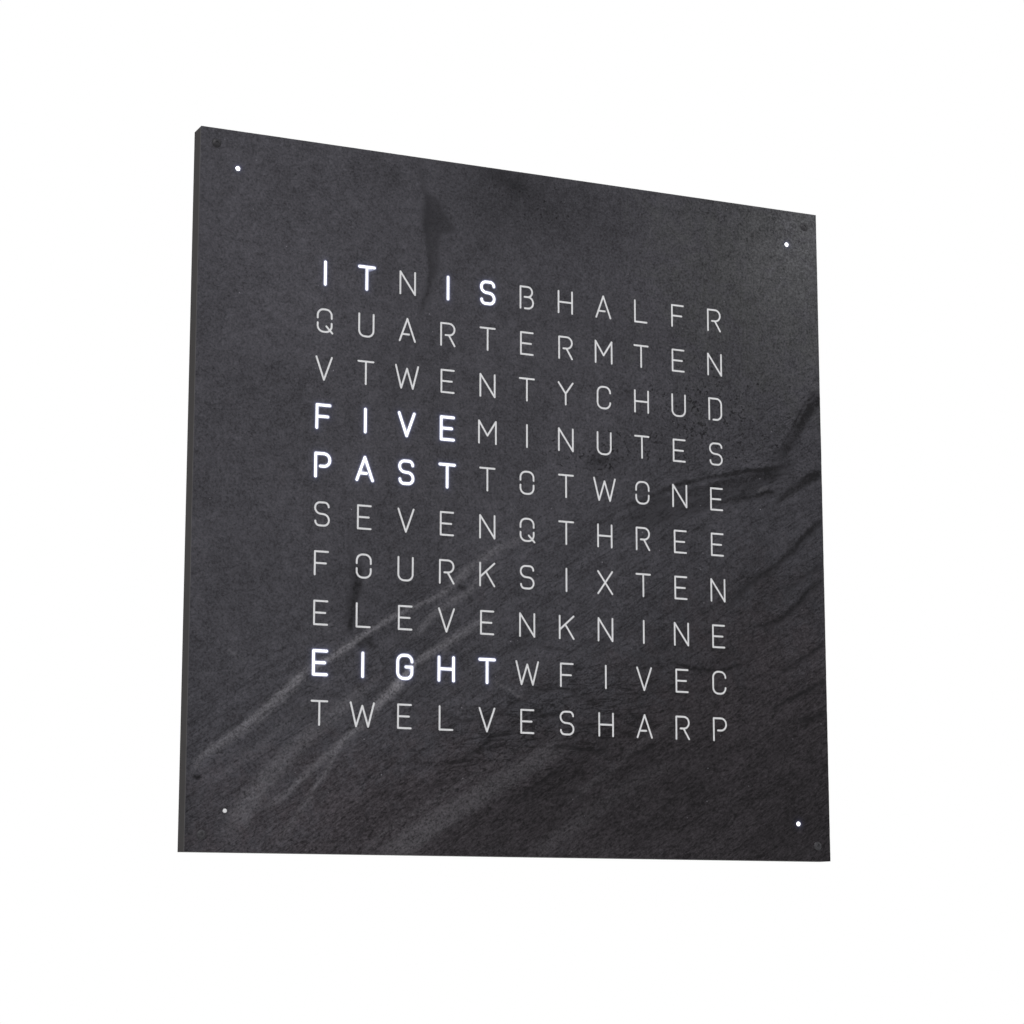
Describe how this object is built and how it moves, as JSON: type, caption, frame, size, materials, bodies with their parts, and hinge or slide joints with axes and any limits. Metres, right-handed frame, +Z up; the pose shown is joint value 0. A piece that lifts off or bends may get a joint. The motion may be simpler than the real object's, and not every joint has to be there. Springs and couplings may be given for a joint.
{
  "type": "word clock",
  "caption": "Square slate-faced wall clock that tells the time in lit words, on a slim lacquered body with side buttons and keyhole hangers.",
  "frame": {"origin": "centre of the rear cover's flat back, which lies against the wall", "axes": "+Y points into the wall, so the face looks along -Y; +Z is up; +X is to the right seen from the front"},
  "size_m": [0.451, 0.0214, 0.45],
  "materials": {
    "slate": "natural cleft slate, matte",
    "painted_steel": "dark grey paint, satin",
    "lacquered_board": "fibreboard with matte dark grey lacquer",
    "black_screw": "blackened steel",
    "brass": "turned brass",
    "clear_acrylic": "polished acrylic",
    "lit_acrylic": "opal, lit from behind",
    "opal_acrylic": "opal, satin",
    "white_plastic": "moulded, matte",
    "white_circuit_board": "white solder mask",
    "green_circuit_board": "green solder mask",
    "led": "phosphor in a white case",
    "chip_black": "moulded epoxy",
    "zinc_steel": "zinc plated",
    "aluminium_can": "drawn aluminium",
    "black_plastic": "moulded, matte",
    "button_plastic": "moulded, fine satin",
    "flat_cable": "flat cable, matte",
    "red_wire": "wire insulation",
    "cover_steel": "black powder coat, fine texture"
  },
  "bodies": {
    "clock_body": {"slate_face": "slate", "steel_backing": "painted_steel", "corner_screws": "black_screw", "threaded_inserts": "brass", "minute_lenses": "clear_acrylic", "diffuser_sheet": "opal_acrylic", "chamber_grid": "white_plastic", "body_frame": "lacquered_board", "led_board": "white_circuit_board", "letter_leds": "led", "led_drivers": "chip_black", "led_board_screws": "zinc_steel", "dot_boards": "white_circuit_board", "dot_leds": "led", "dot_leads": "flat_cable", "control_board": "green_circuit_board", "board_standoffs": "brass", "control_board_screws": "zinc_steel", "board_header": "black_plastic", "microcontroller": "chip_black", "clock_chip": "chip_black", "quartz_crystal": "zinc_steel", "voltage_regulator": "chip_black", "smoothing_capacitors": "aluminium_can", "coin_cell_holder": "black_plastic", "coin_cell": "zinc_steel", "coin_cell_clip": "zinc_steel", "lead_sockets": "white_plastic", "power_socket": "black_plastic", "power_socket_pin": "zinc_steel", "power_wires": "red_wire", "button_board": "green_circuit_board", "button_lead": "flat_cable", "button_switches": "black_plastic", "button_bushes": "black_plastic", "rear_cover": "cover_steel", "rear_cover_screws": "black_screw", "hanger_plates": "zinc_steel", "hanger_screws": "zinc_steel"},
    "hour_key": {"hour_button": "button_plastic", "hour_switch_stem": "white_plastic"},
    "minute_key": {"minute_button": "button_plastic", "minute_switch_stem": "white_plastic"},
    "brightness_key": {"brightness_button": "button_plastic", "brightness_switch_stem": "white_plastic"}
  },
  "joints": [
    {"name": "hour_press", "type": "slide", "parent": "clock_body", "child": "hour_key", "axis": [-1, 0, 0], "range_m": [0, 0.0005], "stiffness_N_per_m": 1000},
    {"name": "minute_press", "type": "slide", "parent": "clock_body", "child": "minute_key", "axis": [-1, 0, 0], "range_m": [0, 0.0005], "stiffness_N_per_m": 1000},
    {"name": "brightness_press", "type": "slide", "parent": "clock_body", "child": "brightness_key", "axis": [-1, 0, 0], "range_m": [0, 0.0005], "stiffness_N_per_m": 1000}
  ]
}
